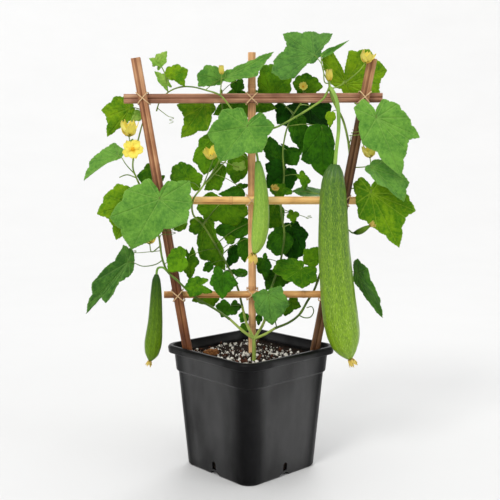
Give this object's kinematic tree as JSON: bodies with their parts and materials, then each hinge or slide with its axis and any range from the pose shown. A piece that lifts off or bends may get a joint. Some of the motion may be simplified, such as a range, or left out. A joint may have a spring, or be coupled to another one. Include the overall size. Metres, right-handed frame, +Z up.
{
  "type": "potted luffa",
  "caption": "Luffa vine with ribbed hanging fruits, lobed leaves and yellow flowers, tied to a bamboo trellis that stands in a square pot of soil.",
  "frame": {"origin": "middle of the pot's flat underside", "axes": "+Z up, the trellis stands in the XZ plane with its front and the large fruit towards -Y, +X to the viewer's right seen from the front; the large luffa hangs on the +X side"},
  "size_m": [0.6323, 0.327, 0.8502],
  "materials": {
    "pot_plastic": "charcoal-black moulded plastic with a faint grain, slightly shiny on the rim",
    "potting_mix": "dark damp peat with white perlite grains and reddish bark chips",
    "split_bamboo": "reddish-brown split bamboo, satin, darker along the groove",
    "bamboo_cane": "tan bamboo cane, satin, with darker rings at the knots",
    "twine": "pale twisted natural fibre",
    "foliage": "fresh green leaf and stem, finely veined, slightly bluish where lit from the front",
    "luffa_skin": "smooth green fruit skin with fine darker and lighter lengthwise stripes",
    "petal": "soft bright yellow petal"
  },
  "bodies": {
    "root": {"pot": "pot_plastic", "soil": "potting_mix", "stem_main": "foliage", "cane_left": "split_bamboo", "cane_right": "split_bamboo", "bar_top": "split_bamboo", "cane_centre": "bamboo_cane", "bar_middle": "bamboo_cane", "bar_bottom": "bamboo_cane", "tie_top_left": "twine", "tie_top_centre": "twine", "tie_top_right": "twine", "tie_middle_left": "twine", "tie_middle_centre": "twine", "tie_middle_right": "twine", "tie_bottom_left": "twine", "tie_bottom_centre": "twine", "tie_bottom_right": "twine", "vine_left": "foliage", "vine_middle": "foliage", "vine_centre": "foliage", "vine_right": "foliage", "vine_arch": "foliage", "luffa_large": "luffa_skin", "luffa_centre": "luffa_skin", "luffa_left": "luffa_skin", "luffa_baby": "luffa_skin", "luffa_large_flower": "petal", "luffa_centre_flower": "petal", "luffa_left_flower": "petal", "luffa_baby_flower": "petal", "flower_left_upper": "petal", "flower_left_open": "petal", "flower_left_low": "petal", "flower_middle": "petal", "flower_top_small": "petal", "flower_right_top": "petal", "flower_right": "petal", "flower_dried": "petal", "bud_top_left": "petal", "bud_top_right": "petal"}
  },
  "joints": []
}
